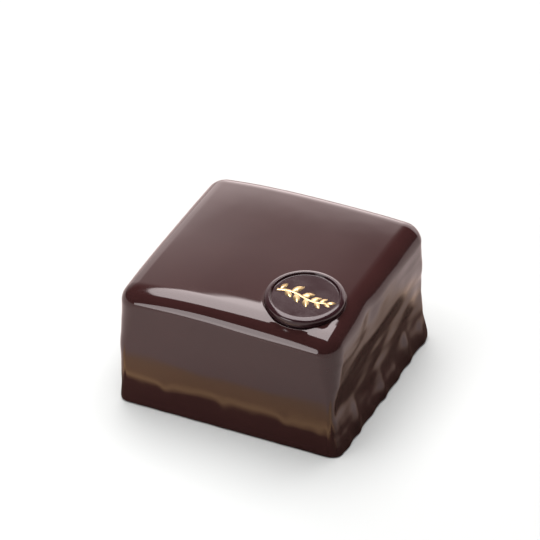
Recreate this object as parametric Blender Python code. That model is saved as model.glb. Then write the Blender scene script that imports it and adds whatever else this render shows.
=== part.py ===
"""Square single-portion chocolate cake under a poured glaze, with a round chocolate seal on top.

Two solids: the glazed cake and the seal. Metres, +Z up. The origin is on the surface that the cake
stands on, under the middle of its outline. -Y is the smooth front, and +X the side where the glaze
ran down in waves and drips.
"""

import math

import bmesh
import bpy
from mathutils import noise

MM = 0.001

# The cake: an upright block whose edges the glaze has rounded.
WIDTH = 65.4 * MM
DEPTH = 62.5 * MM
HEIGHT = 39.9 * MM
TOP_RADIUS = 5.6 * MM
CORNER_RADIUS = 2.8 * MM
# The upright corners grow as round as the top edge over this much of their height.
CORNER_RISE = 18.0 * MM
BASE_RADIUS = 0.8 * MM

# The top is slightly domed: how far it has fallen from its middle at each side.
CROWN_POWER = 2.4
CROWN_LEFT = 2.2 * MM
CROWN_RIGHT = 1.2 * MM
CROWN_FRONT = 1.5 * MM
CROWN_BACK = 0.4 * MM
# Beside the seal, the front edge has sagged further: how deep, and where that sets in, in X and in Y.
SAG_DEPTH = 0.85 * MM
SAG_START = (0.0 * MM, -22.5 * MM)
SAG_FADE = 4.0 * MM

# The glaze on the sides: a waist half way up, a foot at the base, shallow waves that calm towards the
# top, and drips.
WAIST_HEIGHT = 16.0 * MM
WAIST_SPREAD = 7.5 * MM
FOOT_SPREAD = 5.5 * MM
WAVE_LENGTH = 13.0 * MM
WAVE_RISE = 6.0 * MM
WAVE_TOP = 37.0 * MM
WAVE_FADE = 14.0 * MM
DRIP_WIDTH = 1.7 * MM
DRIP_TOP = 10.0 * MM
DRIP_FADE = 1.2 * MM
# Per side: its outward direction, then the depth of its waist, foot, waves and drips.
SIDES = (
    ((1, 0), 1.0 * MM, 1.2 * MM, 0.60 * MM, 0.55 * MM),
    ((0, 1), 0.3 * MM, 0.7 * MM, 0.40 * MM, 0.40 * MM),
    ((-1, 0), 0.1 * MM, 0.4 * MM, 0.20 * MM, 0.25 * MM),
    ((0, -1), 0.0 * MM, 0.5 * MM, 0.05 * MM, 0.10 * MM),
)
# Per drip: its place along a side, from -1 to 1, and its share of the full depth and height.
DRIPS = ((-0.80, 0.6), (-0.58, 1.0), (-0.30, 0.5), (-0.04, 0.9), (0.24, 0.6), (0.52, 1.0), (0.84, 0.8))
# A hollow under the right edge, where the glaze tore: its place along and up, spread and depth.
HOLLOW = (-8.0 * MM, 34.0 * MM, 4.5 * MM, 0.45 * MM)
# The foot stands out further on the right and at the back, so the block is set back by this much.
SET_BACK = (-0.6 * MM, -0.3 * MM)

# How the block is divided, and how many of the pieces lie in each half of a rounded edge.
PLAN_PIECES = 32
RISE_PIECES = 22
ARC_PIECES = 3
BASE_PIECES = 2

# The seal: a turned disc with a raised rim round a sunk field, pressed a little into the glaze. It leans
# forwards and to the right with the dome of the top.
SEAL_PLACE = (17.2 * MM, -18.1 * MM)
SEAL_TILT = (math.radians(3.2), math.radians(2.0))
SEAL_RADIUS = 10.9 * MM
SEAL_SINK = 0.9 * MM
SEAL_STEPS = 56
CLEARANCE = 0.3 * MM
# Half its section in mm, from the underside up the flank and over the round rim into the field.
SECTION = (
    (10.3, 0.0),
    (10.6, 0.3),
    (10.85, 1.5),
    (10.9, 2.3),
    (10.65, 2.8),
    (10.0, 3.15),
    (9.5, 3.25),
    (9.3, 3.15),
    (9.2, 2.7),
    (9.1, 2.45),
    (8.6, 2.45),
)
SEAT_TOP = 4.0 * MM


def clear_scene():
    for obj in list(bpy.data.objects):
        bpy.data.objects.remove(obj)


def chocolate(name, color, roughness, coat):
    """A dark chocolate: a brown body under a clear, slightly glossy fat layer."""
    material = bpy.data.materials.new(name)
    material.use_nodes = True
    shader = material.node_tree.nodes["Principled BSDF"]
    shader.inputs["Base Color"].default_value = (*color, 1.0)
    shader.inputs["Roughness"].default_value = roughness
    shader.inputs["Metallic"].default_value = 0.0
    shader.inputs["Coat Weight"].default_value = coat
    return material


def smooth_object(bm, name, material):
    bmesh.ops.recalc_face_normals(bm, faces=bm.faces[:])
    mesh = bpy.data.meshes.new(name)
    bm.to_mesh(mesh)
    bm.free()
    mesh.shade_smooth()
    mesh.materials.append(material)
    obj = bpy.data.objects.new(name, mesh)
    bpy.context.scene.collection.objects.link(obj)
    return obj


def divide_along(bm, axis, pieces):
    """Divide the edges that run along one axis, and with them the faces between."""
    edges = []
    for edge in bm.edges:
        run = edge.verts[0].co - edge.verts[1].co
        if abs(run[axis]) > 0.99 * run.length:
            edges.append(edge)
    bmesh.ops.subdivide_edges(bm, edges=edges, cuts=pieces - 1, use_grid_fill=True)


def along_side(t, half, radius):
    """(place, bend) for t from -1 to 1: the last flat place reached, and how far round the corner.

    The flat is divided evenly. In the rounded end the angle is divided evenly, and bend is its
    tangent, which is 1 half way round.
    """
    share = ARC_PIECES / (PLAN_PIECES / 2)
    if abs(t) <= 1 - share:
        return (half - radius) * t / (1 - share), 0.0
    bend = math.tan(math.radians(45) * (abs(t) - 1 + share) / share)
    return math.copysign(half - radius, t), math.copysign(bend, t)


def up_side(t):
    """(height, bend) for t from -1 at the base to 1 at the top, as along_side gives them."""
    top_share = ARC_PIECES / (RISE_PIECES / 2)
    base_share = BASE_PIECES / (RISE_PIECES / 2)
    shoulder = HEIGHT - TOP_RADIUS
    if t > 1 - top_share:
        return shoulder, math.tan(math.radians(45) * (t - 1 + top_share) / top_share)
    if t < base_share - 1:
        return BASE_RADIUS * ((t + 1) / base_share) ** 2, 0.0
    wall_share = (t + 1 - base_share) / (2 - top_share - base_share)
    return BASE_RADIUS + (shoulder - BASE_RADIUS) * wall_share, 0.0


def upright_radius(height):
    """The radius of the upright corners: it has widened to the top edge's where the wall ends."""
    share = max(0.0, (height - (HEIGHT - TOP_RADIUS - CORNER_RISE)) / CORNER_RISE)
    return CORNER_RADIUS + (TOP_RADIUS - CORNER_RADIUS) * share**2 * (3 - 2 * share)


def side_relief(side, along, height):
    """How far the glaze stands out of a side at a place along it and up it."""
    (side_x, side_y), waist, foot, wave, drip = side
    half = (DEPTH if side_x else WIDTH) / 2
    relief = foot * math.exp(-((height / FOOT_SPREAD) ** 2))
    relief -= waist * math.exp(-(((height - WAIST_HEIGHT) / WAIST_SPREAD) ** 2))
    layer = 3 * side_x + 5 * side_y
    calm = min(1.0, max(0.0, (WAVE_TOP - height) / WAVE_FADE))
    relief += calm * wave * noise.noise((along / WAVE_LENGTH, height / WAVE_RISE, layer))
    if side_x > 0:
        hollow_along, hollow_height, spread, depth = HOLLOW
        away = math.hypot(along - hollow_along, height - hollow_height)
        relief -= depth * math.exp(-((away / spread) ** 2))
    for place, share in DRIPS:
        across = math.exp(-(((along - place * half) / DRIP_WIDTH) ** 2))
        below = 1 / (1 + math.exp((height - DRIP_TOP * share) / DRIP_FADE))
        relief += drip * share * across * below
    return relief


def base_inset(height):
    """How far the rounded bottom edge draws in."""
    lift = max(0.0, 1 - height / BASE_RADIUS)
    return BASE_RADIUS * (1 - math.sqrt(1 - lift**2))


def crown_fall(x, y):
    """How far the top has fallen at a place."""
    fall_x = (CROWN_RIGHT if x > 0 else CROWN_LEFT) * abs(2 * x / WIDTH) ** CROWN_POWER
    fall_y = (CROWN_BACK if y > 0 else CROWN_FRONT) * abs(2 * y / DEPTH) ** CROWN_POWER
    near_front = max(0.0, (SAG_START[1] - y) / (SAG_START[1] + DEPTH / 2))
    sag = SAG_DEPTH * near_front**2 / (1 + math.exp((SAG_START[0] - x) / SAG_FADE))
    return fall_x + fall_y + sag


def glaze_point(t):
    """The place on the glaze of a point t of the block, whose faces are at -1 and 1."""
    z, bend_z = up_side(t.z)
    radius = upright_radius(z)
    x, bend_x = along_side(t.x, WIDTH / 2, radius)
    y, bend_y = along_side(t.y, DEPTH / 2, radius)
    length = math.sqrt(bend_x**2 + bend_y**2 + bend_z**2)
    out_x, out_y = bend_x / length, bend_y / length
    x += radius * out_x
    y += radius * out_y
    z += TOP_RADIUS * bend_z / length
    level = math.hypot(out_x, out_y)
    if level > 0:
        out = -base_inset(z)
        for side in SIDES:
            side_x, side_y = side[0]
            facing = max(0.0, out_x * side_x + out_y * side_y) / level
            out += facing**2 * side_relief(side, y if side_x else x, z)
        x += out * out_x
        y += out * out_y
    z -= crown_fall(x, y) * (z / HEIGHT) ** 2
    return x + SET_BACK[0], y + SET_BACK[1], z


def glazed_cake():
    """The cake in its glaze: a divided block with its points moved onto the glaze, and a flat base."""
    bm = bmesh.new()
    bmesh.ops.create_cube(bm, size=2.0)
    base = [face for face in bm.faces if face.normal.z < -0.5]
    bmesh.ops.delete(bm, geom=base, context="FACES_ONLY")
    divide_along(bm, 2, RISE_PIECES)
    divide_along(bm, 0, PLAN_PIECES)
    divide_along(bm, 1, PLAN_PIECES)
    for vertex in bm.verts:
        vertex.co = glaze_point(vertex.co)
    bmesh.ops.holes_fill(bm, edges=[edge for edge in bm.edges if edge.is_boundary], sides=0)
    glaze = chocolate("dark_chocolate_glaze", (0.030, 0.0095, 0.0075), 0.08, 0.5)
    return smooth_object(bm, "glazed_cake", glaze)


def turned(outline):
    """Spin an outline of (radius, height) points round Z into a closed body."""
    bm = bmesh.new()
    points = [bm.verts.new((radius, 0.0, height)) for radius, height in outline]
    edges = [bm.edges.new(pair) for pair in zip(points, points[1:])]
    bmesh.ops.spin(
        bm,
        geom=points + edges,
        cent=(0, 0, 0),
        axis=(0, 0, 1),
        angle=2 * math.pi,
        steps=SEAL_STEPS,
        use_merge=True,
    )
    bmesh.ops.remove_doubles(bm, verts=bm.verts[:], dist=1e-6)
    return bm


def set_on_cake(obj):
    """Put an object at the seal's place and lean."""
    x, y = SEAL_PLACE
    obj.location = (x, y, HEIGHT - crown_fall(x, y) - SEAL_SINK)
    obj.rotation_euler = (*SEAL_TILT, 0)


def seal_outline():
    """Half the seal's section from middle to middle, with each corner between its points cut off."""
    outline = [(0.0, 0.0)]
    for (r0, z0), (r1, z1) in zip(SECTION, SECTION[1:]):
        for share in (0.25, 0.75):
            outline.append(((r0 + share * (r1 - r0)) * MM, (z0 + share * (z1 - z0)) * MM))
    outline.append((0.0, SECTION[-1][1] * MM))
    return outline


def chocolate_seal():
    """A moulded disc of dark chocolate, pressed into the glaze before it set."""
    moulded = chocolate("seal_chocolate", (0.026, 0.0105, 0.009), 0.18, 0.3)
    seal = smooth_object(turned(seal_outline()), "chocolate_seal", moulded)
    set_on_cake(seal)


def cut_seat(cake):
    """Cut the shallow pocket that the seal stands in, a little wider and deeper than the seal."""
    radius = SEAL_RADIUS + CLEARANCE
    outline = [(0.0, -CLEARANCE), (radius, -CLEARANCE), (radius, SEAT_TOP), (0.0, SEAT_TOP)]
    cutter = smooth_object(turned(outline), "seat_cutter", cake.data.materials[0])
    set_on_cake(cutter)
    cutter.hide_render = True
    cutter.display_type = "WIRE"
    seat = cake.modifiers.new("seal_seat", "BOOLEAN")
    seat.operation = "DIFFERENCE"
    seat.object = cutter


clear_scene()
cake_object = glazed_cake()
chocolate_seal()
cut_seat(cake_object)
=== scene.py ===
"""A dark chocolate cake for one: a square block under a poured glaze, with a moulded chocolate seal.

Metres, +Z up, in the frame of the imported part. The cake stands on the origin, its smooth front faces
-Y, and +X is the side where the glaze ran down in waves and drips.
"""

import math

import bmesh
import bpy
from mathutils import Matrix, Vector, noise
from mathutils.bvhtree import BVHTree


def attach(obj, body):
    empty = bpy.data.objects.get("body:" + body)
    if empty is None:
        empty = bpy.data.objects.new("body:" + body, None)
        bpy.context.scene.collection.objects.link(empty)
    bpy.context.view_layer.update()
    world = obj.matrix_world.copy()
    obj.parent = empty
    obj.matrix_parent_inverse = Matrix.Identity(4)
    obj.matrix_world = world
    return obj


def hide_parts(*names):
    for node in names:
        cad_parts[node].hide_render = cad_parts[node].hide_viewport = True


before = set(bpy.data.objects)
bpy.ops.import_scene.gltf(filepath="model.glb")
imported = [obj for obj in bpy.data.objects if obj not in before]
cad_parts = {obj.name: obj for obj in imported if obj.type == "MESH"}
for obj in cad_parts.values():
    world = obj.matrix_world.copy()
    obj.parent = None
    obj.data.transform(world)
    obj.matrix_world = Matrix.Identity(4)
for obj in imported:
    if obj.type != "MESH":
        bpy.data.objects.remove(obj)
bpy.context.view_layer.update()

# ---- The glazed cake ---------------------------------------------------------------------------
# A square of dense chocolate cake, 65 mm across. A warm dark glaze was poured over its middle: it
# rounded the top edges, ran down smooth at the front, and set in waves and drips on the other sides.

MM = 0.001

CAKE_WIDTH = 65.4 * MM
CAKE_DEPTH = 62.5 * MM
CAKE_HEIGHT = 39.9 * MM
TOP_RADIUS = 5.6 * MM
CORNER_RADIUS = 2.8 * MM
# The upright corners grow as round as the top edge over this much of their height.
CORNER_RISE = 18.0 * MM
BASE_RADIUS = 0.8 * MM

# The top is slightly domed: how far it has fallen from its middle at each side.
CROWN_POWER = 2.4
CROWN_LEFT = 2.2 * MM
CROWN_RIGHT = 1.2 * MM
CROWN_FRONT = 1.5 * MM
CROWN_BACK = 0.4 * MM
# Beside the seal, the front edge has sagged further: how deep, where that sets in, in X and in Y, and
# how gradually it does so in X.
SAG_DEPTH = 0.85 * MM
SAG_START = (0.0 * MM, -22.5 * MM)
SAG_FADE = 4.0 * MM

# The glaze on the sides: a waist, a foot at the base, shallow waves that calm towards the top, with
# fine streaks in them, and drips.
WAIST_HEIGHT = 16.0 * MM
WAIST_SPREAD = 7.5 * MM
FOOT_SPREAD = 5.5 * MM
WAVE_LENGTH = 13.0 * MM
WAVE_RISE = 6.0 * MM
WAVE_TOP = 37.0 * MM
WAVE_FADE = 14.0 * MM
DRIP_WIDTH = 1.7 * MM
DRIP_TOP = 10.0 * MM
DRIP_FADE = 1.2 * MM
STREAK_LENGTH = 9.0 * MM
STREAK_RISE = 2.4 * MM
STREAK_SHARE = 0.16
# Which layer of the noise a side's waves come from, by its direction, and how far on its streaks are.
SIDE_LAYER = (3, 5)
STREAK_LAYER = 9
# Per side: its outward direction, then the depth of its waist, foot, waves and drips.
SIDES = (
    ((1, 0), 1.0 * MM, 1.2 * MM, 0.60 * MM, 0.55 * MM),
    ((0, 1), 0.3 * MM, 0.7 * MM, 0.40 * MM, 0.40 * MM),
    ((-1, 0), 0.1 * MM, 0.4 * MM, 0.20 * MM, 0.25 * MM),
    ((0, -1), 0.0 * MM, 0.5 * MM, 0.05 * MM, 0.10 * MM),
)
# Per drip: its place along a side, from -1 to 1, and its share of the full depth and height.
DRIPS = ((-0.80, 0.6), (-0.58, 1.0), (-0.30, 0.5), (-0.04, 0.9), (0.24, 0.6), (0.52, 1.0), (0.84, 0.8))
# A hollow under the right edge, where the glaze tore: its place along and up, spread and depth.
HOLLOW = (-8.0 * MM, 34.0 * MM, 4.5 * MM, 0.45 * MM)
# The foot stands out further on the right and at the back, so the block is moved a little to the left
# and forwards, which keeps the whole outline round the origin.
SET_BACK = (-0.6 * MM, -0.3 * MM)
# This finely divided surface shows crests that the plain solid misses, so it lies this much further in.
CREST_INSET = 0.1 * MM

# How finely the block is divided: cells of about half a millimetre, finer in the rounded edges.
PLAN_PIECES = 132
RISE_PIECES = 84
ARC_PIECES = 14
BASE_PIECES = 6


def divide_along(bm, axis, pieces):
    """Divide the edges that run along one axis, and with them the faces between."""
    edges = []
    for edge in bm.edges:
        run = edge.verts[0].co - edge.verts[1].co
        if abs(run[axis]) > 0.99 * run.length:
            edges.append(edge)
    bmesh.ops.subdivide_edges(bm, edges=edges, cuts=pieces - 1, use_grid_fill=True)


def along_side(t, half, radius):
    """(place, bend) for t from -1 to 1: the last flat place reached, and how far round the corner."""
    share = ARC_PIECES / (PLAN_PIECES / 2)
    if abs(t) <= 1 - share:
        return (half - radius) * t / (1 - share), 0.0
    bend = math.tan(math.radians(45) * (abs(t) - 1 + share) / share)
    return math.copysign(half - radius, t), math.copysign(bend, t)


def up_side(t):
    """(height, bend) for t from -1 at the base to 1 at the top, as along_side gives them."""
    top_share = ARC_PIECES / (RISE_PIECES / 2)
    base_share = BASE_PIECES / (RISE_PIECES / 2)
    shoulder = CAKE_HEIGHT - TOP_RADIUS
    if t > 1 - top_share:
        return shoulder, math.tan(math.radians(45) * (t - 1 + top_share) / top_share)
    if t < base_share - 1:
        return BASE_RADIUS * ((t + 1) / base_share) ** 2, 0.0
    wall_share = (t + 1 - base_share) / (2 - top_share - base_share)
    return BASE_RADIUS + (shoulder - BASE_RADIUS) * wall_share, 0.0


def upright_radius(height):
    """The radius of the upright corners: it has widened to the top edge's where the wall ends."""
    share = max(0.0, (height - (CAKE_HEIGHT - TOP_RADIUS - CORNER_RISE)) / CORNER_RISE)
    return CORNER_RADIUS + (TOP_RADIUS - CORNER_RADIUS) * share**2 * (3 - 2 * share)


def side_relief(side, along, height):
    """How far the glaze stands out of a side at a place along it and up it."""
    (side_x, side_y), waist, foot, wave, drip = side
    half = (CAKE_DEPTH if side_x else CAKE_WIDTH) / 2
    relief = foot * math.exp(-((height / FOOT_SPREAD) ** 2))
    relief -= waist * math.exp(-(((height - WAIST_HEIGHT) / WAIST_SPREAD) ** 2))
    layer = SIDE_LAYER[0] * side_x + SIDE_LAYER[1] * side_y
    calm = min(1.0, max(0.0, (WAVE_TOP - height) / WAVE_FADE))
    relief += calm * wave * noise.noise((along / WAVE_LENGTH, height / WAVE_RISE, layer))
    streaks = noise.noise((along / STREAK_LENGTH, height / STREAK_RISE, layer + STREAK_LAYER))
    relief += STREAK_SHARE * wave * streaks
    if side_x > 0:
        hollow_along, hollow_height, spread, depth = HOLLOW
        away = math.hypot(along - hollow_along, height - hollow_height)
        relief -= depth * math.exp(-((away / spread) ** 2))
    for place, share in DRIPS:
        across = math.exp(-(((along - place * half) / DRIP_WIDTH) ** 2))
        below = 1 / (1 + math.exp((height - DRIP_TOP * share) / DRIP_FADE))
        relief += drip * share * across * below
    return relief


def base_inset(height):
    """How far the rounded bottom edge draws in."""
    lift = max(0.0, 1 - height / BASE_RADIUS)
    return BASE_RADIUS * (1 - math.sqrt(1 - lift**2))


def crown_fall(x, y):
    """How far the top has fallen at a place."""
    fall_x = (CROWN_RIGHT if x > 0 else CROWN_LEFT) * abs(2 * x / CAKE_WIDTH) ** CROWN_POWER
    fall_y = (CROWN_BACK if y > 0 else CROWN_FRONT) * abs(2 * y / CAKE_DEPTH) ** CROWN_POWER
    near_front = max(0.0, (SAG_START[1] - y) / (SAG_START[1] + CAKE_DEPTH / 2))
    sag = SAG_DEPTH * near_front**2 / (1 + math.exp((SAG_START[0] - x) / SAG_FADE))
    return fall_x + fall_y + sag


def glaze_point(t):
    """The place on the glaze of a point t of the block, whose faces are at -1 and 1."""
    z, bend_z = up_side(t.z)
    radius = upright_radius(z)
    x, bend_x = along_side(t.x, CAKE_WIDTH / 2, radius)
    y, bend_y = along_side(t.y, CAKE_DEPTH / 2, radius)
    length = math.sqrt(bend_x**2 + bend_y**2 + bend_z**2)
    out_x, out_y = bend_x / length, bend_y / length
    x += radius * out_x
    y += radius * out_y
    z += TOP_RADIUS * bend_z / length
    level = math.hypot(out_x, out_y)
    if level > 0:
        out = -base_inset(z) - CREST_INSET
        for side in SIDES:
            side_x, side_y = side[0]
            facing = max(0.0, out_x * side_x + out_y * side_y) / level
            out += facing**2 * side_relief(side, y if side_x else x, z)
        x += out * out_x
        y += out * out_y
    z -= crown_fall(x, y) * (z / CAKE_HEIGHT) ** 2
    return x + SET_BACK[0], y + SET_BACK[1], z


cake = bmesh.new()
bmesh.ops.create_cube(cake, size=2.0)
base = [face for face in cake.faces if face.normal.z < -0.5]
bmesh.ops.delete(cake, geom=base, context="FACES_ONLY")
divide_along(cake, 2, RISE_PIECES)
divide_along(cake, 0, PLAN_PIECES)
divide_along(cake, 1, PLAN_PIECES)
for vertex in cake.verts:
    vertex.co = glaze_point(vertex.co)
bmesh.ops.holes_fill(cake, edges=[edge for edge in cake.edges if edge.is_boundary], sides=0)

# Where the seal was pressed in, the glaze rose a little round its foot, and it has a seat below it.
SEAL_PLACE = Vector((17.2 * MM, -18.1 * MM))
SEAL_TILT = (math.radians(3.2), math.radians(2.0))
SEAL_RADIUS = 10.9 * MM
SEAL_SINK = 0.9 * MM
COLLAR_WIDTH = 1.0 * MM
COLLAR_RISE = 0.12 * MM
COLLAR_RINGS = 7
COLLAR_STEPS = 160
# The faces of the top that make room for the collar: how far past it, and how level they are.
COLLAR_GAP = 0.4 * MM
TOP_FACING = 0.2
# The seat inside the collar: its radius, a hair less than the seal's widest, and its gap below the seal.
SEAT_RADIUS = 10.84 * MM
SEAT_CLEARANCE = 0.04 * MM

seal_height = CAKE_HEIGHT - crown_fall(*SEAL_PLACE) - SEAL_SINK
seal_pose = (
    Matrix.Translation((*SEAL_PLACE, seal_height))
    @ Matrix.Rotation(SEAL_TILT[1], 4, "Y")
    @ Matrix.Rotation(SEAL_TILT[0], 4, "X")
)
bmesh.ops.recalc_face_normals(cake, faces=cake.faces[:])
poured = BVHTree.FromBMesh(cake)
collar_radius = SEAL_RADIUS + COLLAR_WIDTH


def collar_point(way, share):
    """A place on the glaze beside the seal, from share 0 at the collar's edge to 1 at the seal."""
    radius = collar_radius + (SEAT_RADIUS - collar_radius) * share
    place = SEAL_PLACE + radius * way
    surface = poured.ray_cast(Vector((*place, 2 * CAKE_HEIGHT)), Vector((0, 0, -1)))[0].z
    underside = (seal_pose @ Vector((*(radius * way), 0))).z
    contact = max(surface, underside) + COLLAR_RISE
    return Vector((*place, surface + (contact - surface) * share**2))


def under_seal(face):
    """Whether a face of the top lies where the seal and its collar come."""
    away = (face.calc_center_median().xy - SEAL_PLACE).length
    return face.normal.z > TOP_FACING and away < collar_radius + COLLAR_GAP


def next_ring(ring):
    """Extrude a ring of the cake's edges: (the new ring's edges, its points)."""
    extruded = bmesh.ops.extrude_edge_only(cake, edges=ring)["geom"]
    edges = [part for part in extruded if isinstance(part, bmesh.types.BMEdge)]
    points = [part for part in extruded if isinstance(part, bmesh.types.BMVert)]
    return edges, points


covered = [face for face in cake.faces if under_seal(face)]
bmesh.ops.delete(cake, geom=covered, context="FACES")
hole = [edge for edge in cake.edges if edge.is_boundary]
bmesh.ops.create_circle(cake, segments=COLLAR_STEPS, radius=1.0)
ring = [edge for edge in cake.edges if edge.is_wire]
for vertex in {vertex for edge in ring for vertex in edge.verts}:
    vertex.co = collar_point(vertex.co.xy.normalized(), 0.0)
bmesh.ops.bridge_loops(cake, edges=hole + ring)
for step in range(1, COLLAR_RINGS + 1):
    ring, points = next_ring(ring)
    for point in points:
        point.co = collar_point((point.co.xy - SEAL_PLACE).normalized(), step / COLLAR_RINGS)
ring, points = next_ring(ring)
for point in points:
    spot = point.co.xy - SEAL_PLACE
    point.co.z = (seal_pose @ Vector((*spot, -SEAT_CLEARANCE))).z
bmesh.ops.holes_fill(cake, edges=ring, sides=0)


def finished(bm, name):
    """Make a smooth piece of a bmesh, with its faces pointing outwards."""
    bmesh.ops.recalc_face_normals(bm, faces=bm.faces[:])
    mesh = bpy.data.meshes.new(name)
    bm.to_mesh(mesh)
    bm.free()
    mesh.shade_smooth()
    piece = bpy.data.objects.new(name, mesh)
    bpy.context.scene.collection.objects.link(piece)
    return piece


def hex_color(code):
    """An sRGB hex colour as the linear RGBA that shaders take."""
    srgb = [int(code[at : at + 2], 16) / 255 for at in (0, 2, 4)]
    return [c / 12.92 if c <= 0.04045 else ((c + 0.055) / 1.055) ** 2.4 for c in srgb] + [1.0]


def add_node(tree, kind, sockets=None, **settings):
    """Add a node with its settings. Each of its sockets gets a value, or a link from another socket."""
    node = tree.nodes.new("ShaderNode" + kind)
    for name, value in settings.items():
        setattr(node, name, value)
    for name, value in (sockets or {}).items():
        if isinstance(value, bpy.types.NodeSocket):
            tree.links.new(value, node.inputs[name])
        else:
            node.inputs[name].default_value = value
    return node


def new_material(name):
    """A new node material: (material, its tree, its shader)."""
    material = bpy.data.materials.new(name)
    material.use_nodes = True
    return material, material.node_tree, material.node_tree.nodes["Principled BSDF"]


# Poured chocolate glaze: couverture with sugar syrup, set to a mirror. The eye gets a nearly black
# red-brown with clear reflections and soft slow ripples in them.
GLAZE_DEEP = hex_color("291717")
GLAZE_WARM = hex_color("301b1a")
GLAZE_ROUGHNESS = (0.05, 0.08)
CLOUD_SIZE = 14.0 * MM
RIPPLE_SIZE = 9.0 * MM
RIPPLE_HEIGHT = 0.015 * MM
# On the right and at the back, where the glaze ran thin, it set duller: where that starts and is full,
# inwards from the side, and how rough it is there.
DULL_START = 4.0 * MM
DULL_FULL = 1.0 * MM
DULL_ROUGHNESS = 0.20
# The values of a noise pattern between which each material goes from its least to its most rough.
NOISE_RANGE = (0.3, 0.7)

glaze, tree, shader = new_material("poured_chocolate_glaze")
shader.inputs["IOR"].default_value = 1.5
here = add_node(tree, "TexCoord").outputs["Object"]
clouds = add_node(tree, "TexNoise", {"Vector": here, "Scale": 1 / CLOUD_SIZE, "Detail": 3.0})
tint = add_node(
    tree,
    "Mix",
    {0: clouds.outputs["Fac"], 6: GLAZE_DEEP, 7: GLAZE_WARM},
    data_type="RGBA",
)
ripples = add_node(tree, "TexNoise", {"Vector": here, "Scale": 1 / RIPPLE_SIZE, "Detail": 1.0})
gloss = add_node(
    tree,
    "MapRange",
    {
        "Value": clouds.outputs["Fac"],
        "From Min": NOISE_RANGE[0],
        "From Max": NOISE_RANGE[1],
        "To Min": GLAZE_ROUGHNESS[0],
        "To Max": GLAZE_ROUGHNESS[1],
    },
).outputs["Result"]
spot = add_node(tree, "SeparateXYZ", {0: here})
for axis, side in (("X", CAKE_WIDTH / 2), ("Y", CAKE_DEPTH / 2)):
    dull = add_node(
        tree,
        "MapRange",
        {
            "Value": spot.outputs[axis],
            "From Min": side - DULL_START,
            "From Max": side - DULL_FULL,
            "To Max": DULL_ROUGHNESS,
        },
    ).outputs["Result"]
    gloss = add_node(tree, "Math", {0: gloss, 1: dull}, operation="MAXIMUM").outputs[0]
bump = add_node(tree, "Bump", {"Height": ripples.outputs["Fac"], "Distance": RIPPLE_HEIGHT})
tree.links.new(tint.outputs[2], shader.inputs["Base Color"])
tree.links.new(gloss, shader.inputs["Roughness"])
tree.links.new(bump.outputs["Normal"], shader.inputs["Normal"])

cake_piece = finished(cake, "poured_glaze")
cake_piece.data.materials.append(glaze)
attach(cake_piece, "root")
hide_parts("glazed_cake")

# ---- The chocolate seal ------------------------------------------------------------------------
# A disc of dark chocolate, cast in a mould 22 mm across, with a rounded rim round a sunk field. It
# was pressed into the glaze near the front right corner while that was still soft.

SEAL_STEPS = 160
UNDERSIDE_RING = 6.0 * MM
FIELD_RINGS = 10
ROUNDING = 3
# Half its section in millimetres, from the underside up the flank and over the round rim into the field.
SECTION = (
    (10.3, 0.0),
    (10.6, 0.3),
    (10.85, 1.5),
    (10.9, 2.3),
    (10.65, 2.8),
    (10.0, 3.15),
    (9.5, 3.25),
    (9.3, 3.15),
    (9.2, 2.7),
    (9.1, 2.45),
    (8.6, 2.45),
)


def rounded(points, times):
    """Cut the corners of a line of points a quarter in, so many times, which leaves a smooth curve."""
    for _ in range(times):
        cut = [points[0]]
        for (r0, z0), (r1, z1) in zip(points, points[1:]):
            cut.append((0.75 * r0 + 0.25 * r1, 0.75 * z0 + 0.25 * z1))
            cut.append((0.25 * r0 + 0.75 * r1, 0.25 * z0 + 0.75 * z1))
        points = cut + [points[-1]]
    return points


section = [(0.0, 0.0), (UNDERSIDE_RING, 0.0)]
section += [(radius * MM, height * MM) for radius, height in rounded(SECTION, ROUNDING)]
field_radius, field_height = section[-1]
for step in range(1, FIELD_RINGS + 1):
    section.append((field_radius * (1 - step / FIELD_RINGS), field_height))

seal = bmesh.new()
points = [seal.verts.new((radius, 0.0, height)) for radius, height in section]
edges = [seal.edges.new(pair) for pair in zip(points, points[1:])]
bmesh.ops.spin(
    seal,
    geom=points + edges,
    cent=(0, 0, 0),
    axis=(0, 0, 1),
    angle=2 * math.pi,
    steps=SEAL_STEPS,
    use_merge=True,
)
bmesh.ops.remove_doubles(seal, verts=seal.verts[:], dist=1e-6)
bmesh.ops.transform(seal, matrix=seal_pose, verts=seal.verts[:])

# Moulded dark chocolate: harder and duller than the glaze, with a faint cool bloom of cocoa butter.
SEAL_DARK = hex_color("221114")
SEAL_BLOOM = hex_color("2a191c")
SEAL_ROUGHNESS = (0.09, 0.16)
BLOOM_SIZE = 5.0 * MM
GRAIN_SIZE = 0.8 * MM
GRAIN_HEIGHT = 0.01 * MM

moulded, tree, shader = new_material("moulded_dark_chocolate")
shader.inputs["IOR"].default_value = 1.48
here = add_node(tree, "TexCoord").outputs["Object"]
bloom = add_node(tree, "TexNoise", {"Vector": here, "Scale": 1 / BLOOM_SIZE, "Detail": 4.0})
tint = add_node(
    tree,
    "Mix",
    {0: bloom.outputs["Fac"], 6: SEAL_DARK, 7: SEAL_BLOOM},
    data_type="RGBA",
)
gloss = add_node(
    tree,
    "MapRange",
    {
        "Value": bloom.outputs["Fac"],
        "From Min": NOISE_RANGE[0],
        "From Max": NOISE_RANGE[1],
        "To Min": SEAL_ROUGHNESS[0],
        "To Max": SEAL_ROUGHNESS[1],
    },
)
grain = add_node(tree, "TexNoise", {"Vector": here, "Scale": 1 / GRAIN_SIZE, "Detail": 2.0})
bump = add_node(tree, "Bump", {"Height": grain.outputs["Fac"], "Distance": GRAIN_HEIGHT})
tree.links.new(tint.outputs[2], shader.inputs["Base Color"])
tree.links.new(gloss.outputs["Result"], shader.inputs["Roughness"])
tree.links.new(bump.outputs["Normal"], shader.inputs["Normal"])

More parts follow.
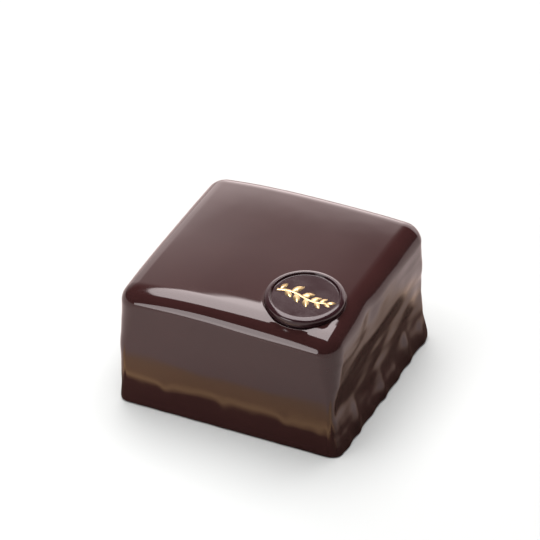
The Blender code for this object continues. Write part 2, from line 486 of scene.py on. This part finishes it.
seal_piece = finished(seal, "moulded_seal")
seal_piece.data.materials.append(moulded)
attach(seal_piece, "root")
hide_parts("chocolate_seal")

# ---- The gold sprig ----------------------------------------------------------------------------
# A plain leaf sprig in edible gold, printed on the seal's field from a transfer sheet: a thin film
# that stands only a hair above the chocolate.

PRINT_THICKNESS = 0.06 * MM
PRINT_SINK = 0.02 * MM
PRINT_PLACE = (-0.9 * MM, -0.3 * MM)
STEM_HALF = 7.3 * MM
STEM_WIDTH = 0.9 * MM
STEM_SWAY = 0.8 * MM
# Half of the stem's width is gone at its tip.
STEM_TAPER = 0.5
STEM_PIECES = 40
# A leaf is drawn on a circle of radius 1: how wide it stays, how much narrower at its ends, how far its
# middle is from the stem, and its number of sides.
LEAF_WIDTH = 0.52
LEAF_POINT = 0.75
LEAF_OUT = 1.05
LEAF_SIDES = 20
# Per leaf: its place along the stem from -1 to 1, its length in millimetres, and its angle from the stem.
LEAVES = (
    (-0.90, 3.2, 52),
    (-0.70, 3.5, -50),
    (-0.48, 4.0, 50),
    (-0.26, 3.9, -48),
    (-0.04, 3.8, 48),
    (0.17, 3.6, -46),
    (0.37, 3.3, 46),
    (0.56, 3.0, -44),
    (0.73, 2.7, 42),
    (0.88, 2.3, -38),
    (0.98, 2.6, 4),
)


def stem_point(t):
    """The stem's middle line in the field, for t from -1 to 1: a long flat S."""
    return Vector((STEM_HALF * t, -STEM_SWAY * math.sin(math.pi * t)))


def stem_angle(t, near=0.01):
    """The way the stem runs at t, read from two points near it."""
    step = stem_point(t + near) - stem_point(t - near)
    return math.atan2(step.y, step.x)


sprig = bmesh.new()
stem = bmesh.ops.create_grid(sprig, x_segments=STEM_PIECES, y_segments=1, size=1.0)["verts"]
for vertex in stem:
    middle = stem_point(vertex.co.x)
    turn = stem_angle(vertex.co.x) + math.radians(90)
    half_width = STEM_WIDTH * (1 - STEM_TAPER * (1 + vertex.co.x) / 2) / 2
    middle += vertex.co.y * half_width * Vector((math.cos(turn), math.sin(turn)))
    vertex.co = (*middle, 0)
for place, length, angle in LEAVES:
    leaf = bmesh.ops.create_circle(sprig, cap_ends=True, segments=LEAF_SIDES, radius=1.0)["verts"]
    for vertex in leaf:
        vertex.co.y *= LEAF_WIDTH * (1 - LEAF_POINT * vertex.co.x**2)
        vertex.co.x += LEAF_OUT
    bmesh.ops.scale(sprig, vec=(length * MM / 2, length * MM / 2, 1), verts=leaf)
    turn = Matrix.Rotation(stem_angle(place) + math.radians(angle), 3, "Z")
    bmesh.ops.rotate(sprig, cent=(0, 0, 0), matrix=turn, verts=leaf)
    bmesh.ops.translate(sprig, vec=(*stem_point(place), 0), verts=leaf)
flat = sprig.faces[:]
raised = bmesh.ops.extrude_face_region(sprig, geom=flat)["geom"]
bmesh.ops.translate(
    sprig,
    vec=(0, 0, PRINT_THICKNESS),
    verts=[part for part in raised if isinstance(part, bmesh.types.BMVert)],
)
bmesh.ops.transform(
    sprig,
    matrix=seal_pose @ Matrix.Translation((*PRINT_PLACE, field_height - PRINT_SINK)),
    verts=sprig.verts[:],
)

# Edible gold: mica flakes in cocoa butter. It shines as a soft warm metal, a little broken up.
GOLD_PALE = hex_color("e8d3a2")
GOLD_DEEP = hex_color("cfb078")
GOLD_ROUGHNESS = (0.3, 0.45)
FLAKE_SIZE = 0.5 * MM

gold, tree, shader = new_material("edible_gold_print")
shader.inputs["Metallic"].default_value = 1.0
here = add_node(tree, "TexCoord").outputs["Object"]
flakes = add_node(tree, "TexNoise", {"Vector": here, "Scale": 1 / FLAKE_SIZE, "Detail": 2.0})
tint = add_node(
    tree,
    "Mix",
    {0: flakes.outputs["Fac"], 6: GOLD_DEEP, 7: GOLD_PALE},
    data_type="RGBA",
)
gloss = add_node(
    tree,
    "MapRange",
    {
        "Value": flakes.outputs["Fac"],
        "From Min": NOISE_RANGE[0],
        "From Max": NOISE_RANGE[1],
        "To Min": GOLD_ROUGHNESS[0],
        "To Max": GOLD_ROUGHNESS[1],
    },
)
tree.links.new(tint.outputs[2], shader.inputs["Base Color"])
tree.links.new(gloss.outputs["Result"], shader.inputs["Roughness"])

sprig_piece = finished(sprig, "gold_sprig")
sprig_piece.data.materials.append(gold)
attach(sprig_piece, "root")

# ---- The studio --------------------------------------------------------------------------------
# A pale table that turns into a lit sweep far off, a softbox overhead with a softer back edge, a low
# oval card in front, and a dark room whose back wall is lit at the left and along its foot.

FLOOR_SIZE = 3.0
table = bmesh.new()
bmesh.ops.create_grid(table, x_segments=1, y_segments=1, size=FLOOR_SIZE)
floor = finished(table, "table")

# Matt white board: the eye gets white with a soft shadow on it, a little greyer towards the front.
WHITE_BOARD = hex_color("adb5b4")
BOARD_ROUGHNESS = 0.9
BOARD_SPECULAR = 0.1
# Far from the cake the table glows by itself, as a lit sweep would, so that it stays pale far out: the
# distances where that sets in and is full, in metres, and how bright it is.
SWEEP_REACH = (0.4, 1.6)
SWEEP_GLOW = 0.85
# Painted reflection and painted shade on the table beside the cake, from the cake out to this reach, for
# the glaze to mirror: painted shade, then a paler tone, and in front a warm band, standing in for a gold
# tray the cake is not on. Only reflections see it. Past the front side, the tones of the sides turn into
# those of the front over this much of the way.
PAINTED_MIRROR_REACH = 22.0 * MM
FRONT_BLEND = 8.0 * MM
PAINTED_MIRROR_SIDES = (
    (0.0, "5c4c42"),
    (0.12, "3a2f27"),
    (0.40, "43382f"),
    (0.60, "9a8878"),
    (0.80, "ab9d93"),
    (1.0, "b2a8a5"),
)
PAINTED_MIRROR_FRONT = (
    (0.0, "3a2f27"),
    (0.51, "46392e"),
    (0.59, "ffd9a0"),
    (0.68, "cbab80"),
    (0.87, "bfa684"),
    (1.0, "b2a8a5"),
)
# The edges of these painted tones wander, as in a thin sheet that isn't quite flat.
WANDER_SIZE = 16.0 * MM
WANDER_SHARE = 0.08

paper, tree, shader = new_material("matt_white_board")
shader.inputs["Roughness"].default_value = BOARD_ROUGHNESS
shader.inputs["Specular IOR Level"].default_value = BOARD_SPECULAR
shader.inputs["Emission Color"].default_value = (1, 1, 1, 1)
here = add_node(tree, "TexCoord").outputs["Object"]
far = add_node(tree, "VectorMath", {0: here}, operation="LENGTH").outputs["Value"]
sweep = add_node(
    tree,
    "MapRange",
    {
        "Value": far,
        "From Min": SWEEP_REACH[0],
        "From Max": SWEEP_REACH[1],
        "To Min": 0.0,
        "To Max": SWEEP_GLOW,
    },
)
tree.links.new(sweep.outputs["Result"], shader.inputs["Emission Strength"])
wander = add_node(tree, "TexNoise", {"Vector": here, "Scale": 1 / WANDER_SIZE, "Detail": 2.0})
spot = add_node(tree, "SeparateXYZ", {0: here})
beside = []
for axis, half in (("X", CAKE_WIDTH / 2), ("Y", CAKE_DEPTH / 2)):
    away = add_node(tree, "Math", {0: spot.outputs[axis]}, operation="ABSOLUTE").outputs[0]
    beside.append(add_node(tree, "Math", {0: away, 1: half}, operation="SUBTRACT").outputs[0])
away = add_node(tree, "Math", {0: beside[0], 1: beside[1]}, operation="MAXIMUM").outputs[0]
away = add_node(tree, "Math", {0: away, 1: PAINTED_MIRROR_REACH}, operation="DIVIDE").outputs[0]
away = add_node(
    tree,
    "Math",
    {0: wander.outputs["Fac"], 1: WANDER_SHARE, 2: away},
    operation="MULTIPLY_ADD",
).outputs[0]
in_front = add_node(
    tree,
    "MapRange",
    {
        "Value": spot.outputs["Y"],
        "From Min": -CAKE_DEPTH / 2,
        "From Max": -CAKE_DEPTH / 2 - FRONT_BLEND,
    },
).outputs["Result"]


def painted_mirror_tone(steps):
    """The painted reflection colour at each share of its reach, smooth between the steps."""
    tones = add_node(tree, "ValToRGB", {0: away})
    stops = tones.color_ramp.elements
    while len(stops) < len(steps):
        stops.new(0.5)
    for stop, (place, code) in zip(stops, steps):
        stop.position = place
        stop.color = hex_color(code)
    return tones.outputs["Color"]


painted_mirror = add_node(
    tree,
    "Mix",
    {0: in_front, 6: painted_mirror_tone(PAINTED_MIRROR_SIDES), 7: painted_mirror_tone(PAINTED_MIRROR_FRONT)},
    data_type="RGBA",
)
# Glossy rays see the painted reflection and shade tones; the camera sees the plain white board.
glossy = add_node(tree, "LightPath").outputs["Is Glossy Ray"]
board = add_node(tree, "Mix", {0: glossy, 6: WHITE_BOARD, 7: painted_mirror.outputs[2]}, data_type="RGBA")
tree.links.new(board.outputs[2], shader.inputs["Base Color"])
floor.data.materials.append(paper)

# The lamps are slightly rosy and the board is slightly cool, so the table looks neutral.
LAMP_TINT = (1.0, 0.91, 0.915)
# Per lamp: its name, place, the way it faces, its width and height, its radiance and its shape. The two
# strips carry on the softbox at the back, each dimmer than the one before. The camera sees none of them.
LAMPS = (
    ("softbox", (-0.11, 0.16, 1.04), (0, 0, -1), (1.08, 1.30), 7.9, "RECTANGLE"),
    ("softbox_edge_0", (-0.11, 0.822, 1.04), (0, 0, -1), (1.08, 0.025), 4.2, "RECTANGLE"),
    ("softbox_edge_1", (-0.11, 0.847, 1.04), (0, 0, -1), (1.08, 0.025), 1.6, "RECTANGLE"),
    ("front_card", (-0.037, -0.131, 0.042), (0, 1, 0), (0.084, 0.064), 5.2, "ELLIPSE"),
)

for name, place, facing, (width, height), radiance, shape in LAMPS:
    light = bpy.data.lights.new(name, "AREA")
    light.shape = shape
    light.color = LAMP_TINT
    light.size = width
    light.size_y = height
    fill = math.pi / 4 if shape == "ELLIPSE" else 1.0
    light.energy = math.pi * fill * width * height * radiance
    lamp = bpy.data.objects.new(name, light)
    bpy.context.scene.collection.objects.link(lamp)
    toward = Vector(facing).to_track_quat("-Z", "Y").to_matrix().to_4x4()
    lamp.matrix_world = Matrix.Translation(place) @ toward
    lamp.visible_camera = False

# The wall's glow by the height of the direction, and how it fades to the right, the left and the front.
# Each has its axis, where it starts and is full, and its value at both.
GLOWS = (("Z", 0.89, 0.45, 0.0, 1.4), ("Z", 0.49, 0.38, 0.0, 1.4))
FADES = (
    ("X", 0.10, -0.42, 0.0, 1.0),
    ("X", -0.20, -0.30, 0.5, 1.0),
    ("X", -0.80, -0.50, 0.3, 1.0),
    ("Y", 0.1, 0.5, 0.0, 1.0),
)
# A lamp behind the cake lights the foot of the wall. That glow has a slanted edge, rises by a power
# beyond it, and fades to the left.
FOOT_SLANT = -0.1
FOOT_EDGE = (0.785, 0.812)
FOOT_POWER = 2.5
FOOT_FADE = ("X", -0.50, -0.38, 0.45, 2.1)
ROOM_GLOW = 0.03
ROOM_TINT = (1, 0.87, 0.86, 1)

world = bpy.data.worlds.new("dark_studio")
bpy.context.scene.world = world
world.use_nodes = True
tree = world.node_tree
way = add_node(tree, "TexCoord").outputs["Generated"]
way = add_node(tree, "SeparateXYZ", {0: way})


def ramp(axis, start, full, low, high):
    """A value that runs from low to high as the direction runs from start to full along an axis."""
    return add_node(
        tree,
        "MapRange",
        {
            "Value": way.outputs[axis],
            "From Min": start,
            "From Max": full,
            "To Min": low,
            "To Max": high,
        },
    ).outputs["Result"]


wall = add_node(tree, "Math", {0: ramp(*GLOWS[0]), 1: ramp(*GLOWS[1])}, operation="ADD").outputs[0]
for fade in FADES:
    wall = add_node(tree, "Math", {0: wall, 1: ramp(*fade)}, operation="MULTIPLY").outputs[0]
slant = add_node(
    tree,
    "Math",
    {0: way.outputs["X"], 1: FOOT_SLANT, 2: way.outputs["Y"]},
    operation="MULTIPLY_ADD",
)
foot = add_node(
    tree,
    "MapRange",
    {"Value": slant.outputs[0], "From Min": FOOT_EDGE[0], "From Max": FOOT_EDGE[1]},
).outputs["Result"]
foot = add_node(tree, "Math", {0: foot, 1: FOOT_POWER}, operation="POWER").outputs[0]
foot = add_node(tree, "Math", {0: foot, 1: ramp(*FOOT_FADE)}, operation="MULTIPLY").outputs[0]
wall = add_node(tree, "Math", {0: wall, 1: foot}, operation="ADD").outputs[0]
wall = add_node(tree, "Math", {0: wall, 1: ROOM_GLOW}, operation="ADD").outputs[0]
# Seen directly, beyond the table, the room is one even pale tone with a faint rosy tint.
seen = add_node(tree, "LightPath").outputs["Is Camera Ray"]
glow = add_node(tree, "Mix", {0: seen, 2: wall, 3: 1.0}, data_type="FLOAT")
background = tree.nodes["Background"]
tree.links.new(glow.outputs[0], background.inputs["Strength"])
background.inputs["Color"].default_value = ROOM_TINT

# The camera looks down on the front right corner: its direction from the target, its roll, its distance,
# how far it is moved right and up, and its lens and film in millimetres.
CAMERA_AZIMUTH = math.radians(25.597)
CAMERA_ELEVATION = math.radians(35.434)
CAMERA_ROLL = math.radians(-1.006)
CAMERA_DISTANCE = 944.7 * MM
CAMERA_ASIDE = (-1.468 * MM, 26.605 * MM)
CAMERA_TARGET = Vector((-0.4 * MM, -0.3 * MM, 0))
CAMERA_LENS = 226.4
CAMERA_FILM = 36

back = Vector(
    (
        math.sin(CAMERA_AZIMUTH) * math.cos(CAMERA_ELEVATION),
        -math.cos(CAMERA_AZIMUTH) * math.cos(CAMERA_ELEVATION),
        math.sin(CAMERA_ELEVATION),
    )
)
level = Vector((math.cos(CAMERA_AZIMUTH), math.sin(CAMERA_AZIMUTH), 0))
rise = back.cross(level)
right = math.cos(CAMERA_ROLL) * level + math.sin(CAMERA_ROLL) * rise
up = -math.sin(CAMERA_ROLL) * level + math.cos(CAMERA_ROLL) * rise
camera_data = bpy.data.cameras.new("camera")
camera_data.lens = CAMERA_LENS
camera_data.sensor_width = CAMERA_FILM
camera = bpy.data.objects.new("camera", camera_data)
bpy.context.scene.collection.objects.link(camera)
stand = CAMERA_TARGET + CAMERA_DISTANCE * back + CAMERA_ASIDE[0] * right + CAMERA_ASIDE[1] * up
camera.matrix_world = Matrix.Translation(stand) @ Matrix((right, up, back)).transposed().to_4x4()
bpy.context.scene.camera = camera
bpy.context.scene.view_settings.view_transform = "Standard"
